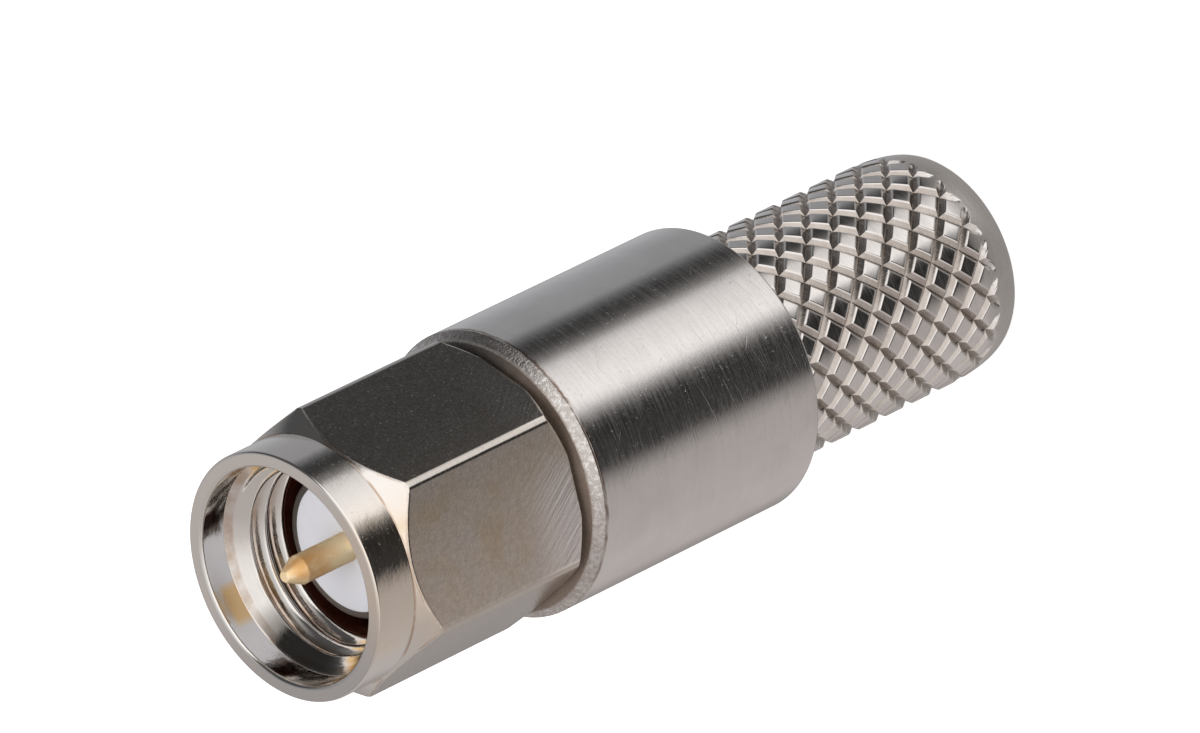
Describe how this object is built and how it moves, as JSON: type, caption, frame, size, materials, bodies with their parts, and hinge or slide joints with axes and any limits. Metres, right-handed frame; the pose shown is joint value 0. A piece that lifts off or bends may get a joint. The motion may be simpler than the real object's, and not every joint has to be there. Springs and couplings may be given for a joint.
{
  "type": "coaxial screw-on plug connector",
  "caption": "Threaded coaxial plug with a captive hexagon coupling nut, centre pin and knurled crimp stub.",
  "frame": {"origin": "centre of the rear end face of the crimp stub, on which the plug stands", "axes": "+Z along the plug's axis, towards the mating end; +X through a corner of the hexagon"},
  "size_m": [0.0092, 0.0092, 0.0284],
  "materials": {
    "nickel_nut": "bright nickel plate on brass, milled flats",
    "nickel_body": "satin nickel plate on brass, finely turned",
    "nickel_knurl": "bright nickel plate on a diamond knurl",
    "spring_bronze": "plain spring bronze",
    "silicone": "dull red-brown silicone",
    "ptfe": "smooth white fluoropolymer",
    "gold_contact": "gold plate"
  },
  "bodies": {
    "body": {"front_shell": "nickel_body", "body_barrel": "nickel_body", "crimp_stub": "nickel_knurl", "front_insulator": "ptfe", "rear_insulator": "ptfe", "center_contact": "gold_contact", "gasket": "silicone", "retaining_ring": "spring_bronze"},
    "nut": {"coupling_nut": "nickel_nut"}
  },
  "joints": [
    {"name": "nut_turn", "type": "hinge", "parent": "body", "child": "nut", "pos_m": [0, 0, 0.0242], "axis": [0, 0, 1], "continuous": true}
  ]
}
